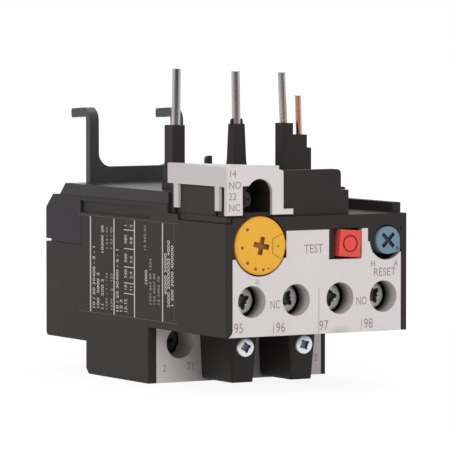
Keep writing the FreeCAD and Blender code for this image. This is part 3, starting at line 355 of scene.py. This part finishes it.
face_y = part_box("terminal_face")[0].y / MM
lower_print = Print((0, face_y - LIFT, LEVEL), ACROSS, UP)
for word, size, x, z, stretch in (("2", 1.5, -18.9, 2.1, 0.8), ("T1", 1.7, -12.95, 2.2, 0.78),
                                  ("4", 1.5, -3.1, 2.2, 0.8), ("T2", 1.7, 2.3, 2.3, 0.78),
                                  ("6", 1.5, 12.2, 2.4, 0.8), ("3", 1.5, 19.6, 2.7, 0.8)):
    lower_print.words(word, size, x, z, stretch=stretch)
lower_print.piece("lower_print", "case", "grey_plastic", brown_ink)

carrier_print = Print((0, FRONT - LIFT, LEVEL), ACROSS, UP)
for z, word in ((45.55, "14"), (43.15, "NO"), (40.8, "22"), (38.45, "NC")):
    carrier_print.words(word, 1.5, -21.75, z, stretch=0.92)
carrier_print.piece("carrier_print", "case", "grey_plastic", brown_ink)


# ---------------------------------------------------------------- side label
# The left side carries white laser marking on the black plastic of the housing.  It holds plain
# numbers and ruled lines only, in columns that read upwards.

side_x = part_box("housing_body")[0].x / MM
LABEL_HEIGHT = (13.6, 34.7)
rules = Print((side_x - LIFT, FRONT, LEVEL), UP, BACK)
for y, width in ((59.0, 0.5), (48.2, 0.45), (39.0, 0.45), (26.6, 0.45)):
    rules.rule(LABEL_HEIGHT, (y - width / 2, y + width / 2))
for z in (18.6, 20.9, 24.4, 28.4, 32.5):
    rules.rule((z - 0.1, z + 0.1), (39.2, 43.7))
rules.piece("label_rules", "case", "black_plastic", ink("white_marking", srgb(196, 193, 191)))

NUMBER_SIZE = 1.1
UPPER_ROW, LOWER_ROW = 42.45, 40.0
numbers = Print((side_x - LIFT, FRONT, LEVEL), UP, BACK)
for y, z, text in ((56.9, 14.2, "10 / 20 30400 - 5 - 1"), (55.0, 14.3, "100  2000 3"),
                   (53.0, 14.2, "11   200 3"), (53.0, 26.6, "10000 20"),
                   (46.2, 14.1, "10 / 20 30400 - 6 - 1"), (44.5, 14.2, "12 3"),
                   (24.8, 19.4, "40000 30000"), (23.5, 16.7, "2000 30000000 4000"),
                   (21.9, 16.9, "1 200 3000 400000"), (33.3, 20.9, "1000")):
    numbers.words(text, NUMBER_SIZE, z, y, stretch=1.08, weight=0.025)
for z, upper, lower in ((19.2, "10", "11"), (21.9, "240", "2.4"), (25.3, "360", "3.6"),
                        (29.4, "480", "4.8"), (33.1, "1", "2")):
    numbers.words(upper, NUMBER_SIZE, z, UPPER_ROW, stretch=0.85, weight=0.02)
    numbers.words(lower, NUMBER_SIZE, z, LOWER_ROW, stretch=0.85, weight=0.02)
numbers.words("12-15", NUMBER_SIZE, 14.3, UPPER_ROW, stretch=0.85, weight=0.02)
numbers.piece("label_numbers", "case", "black_plastic",
              ink("grey_white_marking", srgb(196, 193, 190)))

faint = Print((side_x - LIFT, FRONT, LEVEL), UP, BACK)
for y, z, text in ((51.2, 14.3, "1234  - 1 - 123"), (48.9, 14.3, "1234  - 2 - 123"),
                   (51.0, 27.7, "1 23 / 45"), (49.0, 27.8, "1 23 / 45"),
                   (33.9, 28.3, "12 345-67"), (31.5, 16.7, "1234 567 89 1234"),
                   (29.8, 16.8, "123 4567 89"), (27.9, 16.9, "12 3456 78")):
    faint.words(text, 0.9, z, y, stretch=1.08, weight=0.02)
faint.piece("label_small_marks", "case", "black_plastic",
            ink("dim_marking", srgb(150, 147, 143)))

border = Print((side_x - LIFT, FRONT, LEVEL), UP, BACK)
for y in (41.95, 21.55):
    border.rule(LABEL_HEIGHT, (y - 0.08, y + 0.08))
for z in (13.5, 34.9):
    border.rule((z - 0.05, z + 0.05), (20.0, 64.5))
border.piece("label_border", "case", "black_plastic", ink("faint_marking", srgb(84, 81, 79)))


# ---------------------------------------------------------------- setting dial
# The dial is a yellow polycarbonate disc, pressed on its shaft.  It has a driver cross in its
# middle, whose floor is painted brown as shade, and small dots for its scale.

dial_low, dial_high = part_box("setting_dial")
DIAL_X = (dial_low.x + dial_high.x) / 2 / MM
DIAL_Z = (dial_low.z + dial_high.z) / 2 / MM
DIAL_FACE = dial_low.y / MM


def recess_mask(x, z, reach, face, depth=0.12):
    """Mask maker for what lies behind a face, within a reach of an axis along Y; all in mm."""
    def mask(make, place):
        near = oval(x, z, reach + 0.15, reach + 0.15, 0.06)
        return near(make, place) * behind(face + depth / 3, face + depth)(make, place)
    return mask


YELLOW = srgb(226, 166, 46)
# Painted shade: the floor of the driver cross turns brown.
dial_cross_shade = (srgb(150, 88, 44), recess_mask(DIAL_X, DIAL_Z, 2.3, DIAL_FACE))
finish_node("setting_dial", moulded("yellow_polycarbonate", YELLOW, 0.4, grain=0.2, drift=0.04,
                                    gloss=0.35, patches=[dial_cross_shade]))
dial_print = Print((DIAL_X, DIAL_FACE - LIFT, DIAL_Z), ACROSS, UP)
for x, z, radius in ((-3.4, 3.5, 0.38), (-4.67, -0.3, 0.38), (-3.35, -3.5, 0.4),
                     (-1.44, -4.8, 0.36), (0.48, -5.0, 0.34), (1.67, -4.8, 0.2)):
    dial_print.dot(x, z, radius)
for mark in ([(5.1, 2.4), (2.75, 1.4), (2.75, -1.6), (4.8, -2.9)],
             [(3.7, -0.3), (4.4, -0.2), (3.8, 0.15)]):
    dial_print.line(mark, 0.14)
dial_print.piece("dial_marks", "setting_dial", "yellow_plastic",
                 ink("brown_dots", srgb(112, 78, 30)))


# ---------------------------------------------------------------- test button and reset knob
# Both are moulded in polycarbonate.  The red button is square with a round groove, painted
# darker red as shade, and the blue-grey knob has a cross-shaped recess for a driver, painted
# nearly black as shade.

button_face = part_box("test_button")[0].y / MM
# Painted shade: the groove turns darker red.
button_groove_shade = (srgb(160, 42, 36), recess_mask(7.8, 30.9 + LEVEL, 1.85, button_face, 0.1))
finish_node("test_button", moulded("red_polycarbonate", srgb(216, 72, 62), 0.38, grain=0.15,
                                   drift=0.03, gloss=0.35, patches=[button_groove_shade]))

plunger_low, plunger_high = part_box("reset_plunger")
KNOB_X = (plunger_low.x + plunger_high.x) / 2 / MM
KNOB_Z = (plunger_low.z + plunger_high.z) / 2 / MM
knob_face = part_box("reset_knob")[0].y / MM
# Painted shade: the driver recess turns nearly black.
knob_recess_shade = (srgb(40, 52, 66), recess_mask(KNOB_X, KNOB_Z, 2.4, knob_face))
finish_node("reset_knob", moulded("blue_grey_polycarbonate", srgb(105, 130, 145), 0.36, grain=0.15,
                                  drift=0.03, gloss=0.35, patches=[knob_recess_shade]))


# ---------------------------------------------------------------- contact pins and coil lead
# The three pins are tinned steel wire and the coil lead is bare copper.  They are cut to length,
# drawn smooth along their axis and set by hand, so none stands perfectly straight.

METAL_GRAIN = 2500.0     # cycles per metre
METAL_DRIFT = 300.0
METAL_GRAIN_DEPTH = 0.01
ALONG_Z = (1, 1, 0.05)


def bare_metal(name, colour, roughness, streaks=(1, 1, 1), edge=0.06, metallic=1.0, patches=()):
    """Plated or bare metal with a fine grain, which the streaks draw out along an axis."""
    material, shader, make = new_material(name)
    place = make.node("ShaderNodeTexCoord", {}, {}, "Object")
    drawn = make.node("ShaderNodeMapping", {}, {"Vector": place, "Scale": streaks})
    grain = make.node("ShaderNodeTexNoise", {},
                      {"Vector": drawn, "Scale": METAL_GRAIN, "Detail": 3.0})
    slow = make.node("ShaderNodeTexNoise", {},
                     {"Vector": place, "Scale": METAL_DRIFT, "Detail": 2.0})
    feed(shader, "Base Color", drifting(make, slow, place, colour, 0.1, patches))
    feed(shader, "Roughness", roughness + (grain - 0.5) * 0.2)
    relief(make, shader, grain, 0.2, METAL_GRAIN_DEPTH, edge)
    shader.inputs["Metallic"].default_value = metallic
    return material


def finish_mesh(name, bm, sharp_angle):
    """Smooth-shaded mesh from a bmesh, with edges sharp above an angle in degrees."""
    bmesh.ops.recalc_face_normals(bm, faces=bm.faces)
    mesh = bpy.data.meshes.new(name)
    bm.to_mesh(mesh)
    bm.free()
    mesh.polygons.foreach_set("use_smooth", [True] * len(mesh.polygons))
    mesh.set_sharp_from_angle(angle=math.radians(sharp_angle))
    return mesh


ROOT_STEP = 0.2          # the pins are slimmer inside their sleeves, in mm


def drawn_pin(node, seat, lean, material):
    """Round pin turned from its profile, to stand for a straight one.

    It leans in X above its seat by so many mm at the top; the seat's height is in mm.
    """
    low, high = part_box(node)
    seat = seat * MM
    radius = (high.x - low.x) / 2
    root = radius - ROOT_STEP * MM
    edge = radius / 20
    rise = high.z - edge - seat
    profile = [(0, low.z), (root, low.z), (root, seat)]
    profile += [(radius, seat + rise * step / 8) for step in range(9)]
    profile += [(radius - edge, high.z), (0, high.z)]
    bm = bmesh.new()
    verts = [bm.verts.new((across, 0, z)) for across, z in profile]
    edges = [bm.edges.new(pair) for pair in zip(verts, verts[1:])]
    bmesh.ops.spin(bm, geom=verts + edges, axis=(0, 0, 1), angle=math.tau, steps=40, use_merge=True)
    bmesh.ops.remove_doubles(bm, verts=bm.verts, dist=0.0001 * MM)
    for vert in bm.verts:
        share = max(0.0, vert.co.z - seat) / (high.z - seat)
        vert.co.x += (low.x + high.x) / 2 + lean * MM * share
        vert.co.y += (low.y + high.y) / 2
    piece = add_piece(node + "_drawn", finish_mesh(node + "_drawn", bm, 35), material, "case")
    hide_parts(node)


SLEEVE_TOP = LEVEL + 55.5
COIL_BLOCK_TOP = LEVEL + 52.9
tinned = bare_metal("tinned_steel", srgb(184, 178, 175), 0.2, streaks=ALONG_Z, edge=0.02)
copper = bare_metal("bare_copper", srgb(222, 170, 148), 0.26, streaks=ALONG_Z, edge=0.02)
for number, lean in (("1", 0.2), ("2", -0.2), ("3", -0.55)):
    drawn_pin("contact_pin_" + number, SLEEVE_TOP, lean, tinned)
drawn_pin("coil_lead", COIL_BLOCK_TOP, -0.3, copper)


# ---------------------------------------------------------------- screws, clamps and contacts
# Terminal cages and screws are zinc plated steel, the busbars are copper, the contacts brass and
# the bimetals rolled strip.  Most of them are seen only through the screw holes.

STAR = [1.0, 0.86, 0.6, 0.78, 0.6, 0.86] * 4      # reach of the driver recess round its axis


def star_screw(node, turn, reach, thread, head, colour, recess_shade_colour, metallic):
    """Pan head with a star-shaped driver recess of the given reach, to stand for a plain one.

    The thread's radius and the head's height are in mm.
    """
    low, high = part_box(node)
    middle = Vector(((low.x + high.x) / 2, low.y, (low.z + high.z) / 2))
    radius = (high.x - low.x) / 2 / MM
    place = Matrix.Translation(middle) @ Matrix.Rotation(math.radians(90), 4, "X")
    count = len(STAR)
    turned = [(thread, (high.y - low.y) / MM), (thread, head), (radius, head), (radius, 0.3),
              (radius * 0.95, 0.08), (radius * 0.86, 0)]
    rings = [([size] * count, depth) for size, depth in turned]
    rings += [([share * reach for share in STAR], 0),
              ([share * reach * 0.8 for share in STAR], head * 0.7)]

    bm = bmesh.new()
    loops = []
    for sizes, depth in rings:
        loop = []
        for index, size in enumerate(sizes):
            angle = math.radians(index * 360 / count + turn)
            spot = Vector((size * math.cos(angle), size * math.sin(angle), -depth)) * MM
            loop.append(bm.verts.new(place @ spot))
        loops.append(loop)
    for first, second in zip(loops, loops[1:]):
        for index in range(count):
            after = (index + 1) % count
            bm.faces.new((first[index], first[after], second[after], second[index]))
    bm.faces.new(loops[0])
    bm.faces.new(loops[-1])

    # Painted shade: the floor of the driver recess takes the darker colour.
    painted_recess_shade = recess_mask(middle.x / MM, middle.z / MM, reach, middle.y / MM, 0.3)
    plated = bare_metal(node + "_zinc", colour, 0.34, metallic=metallic,
                        patches=[(recess_shade_colour, painted_recess_shade)])
    mesh = finish_mesh(node + "_star", bm, 40)
    piece = add_piece(node + "_star", mesh, plated, "case")
    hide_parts(node)


for side, turn in (("left", 12), ("right", 28)):
    star_screw("post_screw_" + side, turn, reach=1.3, thread=1.2, head=0.8,
               colour=srgb(240, 241, 246), recess_shade_colour=srgb(98, 106, 122), metallic=0.8)
for number, turn in (("1", 20), ("2", 52), ("3", 5), ("4", 35)):
    star_screw("aux_screw_" + number, turn, reach=2.2, thread=1.5, head=1.8,
               colour=srgb(226, 226, 222), recess_shade_colour=srgb(92, 92, 92), metallic=0.5)
zinc = bare_metal("zinc_plate", srgb(205, 205, 208), 0.3)
# Painted shade: the screws and the pass-through clamp deep in their holes and cavity get a much
# darker copy of the zinc.
shaded_zinc = bare_metal("shaded_zinc_plate", srgb(84, 82, 82), 0.45)
brass = bare_metal("bare_brass", srgb(205, 175, 110), 0.35)
strip = bare_metal("bimetal_strip", srgb(165, 158, 145), 0.4)
brown = moulded("phenolic_brown", srgb(92, 70, 56), 0.5)
for starts, material in (
        (("aux_terminal", "main_terminal", "lever_pin", "test_spring", "reset_spring"), zinc),
        (("terminal_screw", "pass_through"), shaded_zinc), ("line_busbar", copper),
        (("nc_", "no_"), brass), (("bimetal", "heater", "compensation"), strip),
        ("contact_base", brown)):
    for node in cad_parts:
        if node.startswith(starts):
            finish_node(node, material)


# ---------------------------------------------------------------- floor, light and camera
# The relay stands on a plain pale table in front of a white background, under soft light.  In
# reflections the table and the background darken towards the front, where the room is.

TO_REAR = (0.34, 0.94, 0)
FLOOR_RADIUS = 4.0
FLOOR_WHITE = 1.06       # strength of the table's own white
NEAR_SHADOW, FAR_SHADOW = 0.1, 0.3      # between these distances in m the shadow fades out


def ray(make, kind):
    """1 on rays of a kind, such as Camera, and 0 on others."""
    return make.node("ShaderNodeLightPath", {}, {}, "Is " + kind + " Ray")


def rearward(make, place):
    """How far a place or heading lies towards the rear."""
    return make.node("ShaderNodeVectorMath", {"operation": "DOT_PRODUCT"},
                     {0: place, 1: TO_REAR}, 1)


bm = bmesh.new()
bmesh.ops.create_circle(bm, cap_ends=True, segments=96, radius=FLOOR_RADIUS)
floor_mesh = bpy.data.meshes.new("floor")
bm.to_mesh(floor_mesh)
bm.free()
floor = bpy.data.objects.new("floor", floor_mesh)
floor.location.z = cad_box[0][2]
bpy.context.scene.collection.objects.link(floor)
floor_material, shader, make = new_material("pale_floor")
shader.inputs["Base Color"].default_value = (0.8, 0.8, 0.8, 1.0)
shader.inputs["Roughness"].default_value = 0.9
mirrored = ray(make, "Glossy") + ray(make, "Transmission")
shown = ray(make, "Camera") + mirrored
place = make.node("ShaderNodeTexCoord", {}, {}, "Object")
away = make.node("ShaderNodeVectorMath", {"operation": "LENGTH"}, {0: place}, 1)
room = 1 - rearward(make, place).ramp(-0.8, -0.35)
tone = make.mixed(mirrored * room, (1, 1, 1, 1), (0.06, 0.06, 0.06, 1))
white = make.node("ShaderNodeEmission", {}, {"Color": tone, "Strength": FLOOR_WHITE})
diffuse = Value(floor_material.node_tree, shader.outputs[0])
cover = 0.85 + away.ramp(NEAR_SHADOW, FAR_SHADOW) * 0.15
both = make.node("ShaderNodeMixShader", {}, {0: shown * cover, 1: diffuse, 2: white})
output = floor_material.node_tree.nodes["Material Output"]
floor_material.node_tree.links.new(both.socket, output.inputs["Surface"])
floor_mesh.materials.append(floor_material)

world = bpy.data.worlds.new("studio")
bpy.context.scene.world = world
world.use_nodes = True
make = Value(world.node_tree)
seen = ray(make, "Camera")
mirrored = ray(make, "Glossy") + ray(make, "Transmission")
heading = make.node("ShaderNodeTexCoord", {}, {}, "Generated")
rear = rearward(make, heading).ramp(-0.9, -0.4)
background = world.node_tree.nodes["Background"]
background.inputs["Color"].default_value = (1, 1, 1, 1)
lit = 0.5 + seen * 0.5 + mirrored * (rear * 0.9 - 0.4)
world.node_tree.links.new(lit.socket, background.inputs["Strength"])


def lamp(name, place, size, watts, reflected):
    """Square soft lamp at a place in m, aimed at the origin; it shows in gloss if reflected."""
    light = bpy.data.lights.new(name, "AREA")
    light.size = size
    light.energy = watts
    made = bpy.data.objects.new(name, light)
    made.location = place
    made.rotation_euler = (-Vector(place)).to_track_quat("-Z", "Y").to_euler()
    made.visible_glossy = reflected
    bpy.context.scene.collection.objects.link(made)


lamp("key", (-0.5, -0.9, 0.6), size=0.6, watts=4.2, reflected=False)
lamp("fill", (0.3, -1.25, 0.1), size=0.8, watts=5.0, reflected=False)
lamp("top", (0.2, 0.2, 1.2), size=0.8, watts=6.0, reflected=True)
lamp("side", (-1.1, 0.1, 0.5), size=0.6, watts=0.8, reflected=False)

CAMERA_DISTANCE = 0.88
azimuth = math.radians(-30.39)
elevation = math.radians(3.29)
aim = Vector((0.6, -0.5, 33.2)) * MM
away = Vector((math.sin(azimuth) * math.cos(elevation), -math.cos(azimuth) * math.cos(elevation),
               math.sin(elevation)))
camera_data = bpy.data.cameras.new("camera")
camera_data.sensor_width = 36
camera_data.lens = 318.6
camera_data.clip_end = 20
camera_data.dof.use_dof = False
camera = bpy.data.objects.new("camera", camera_data)
camera.location = aim + away * CAMERA_DISTANCE
camera.rotation_euler = (-away).to_track_quat("-Z", "Y").to_euler()
bpy.context.scene.collection.objects.link(camera)
bpy.context.scene.camera = camera
bpy.context.scene.view_settings.view_transform = "Standard"
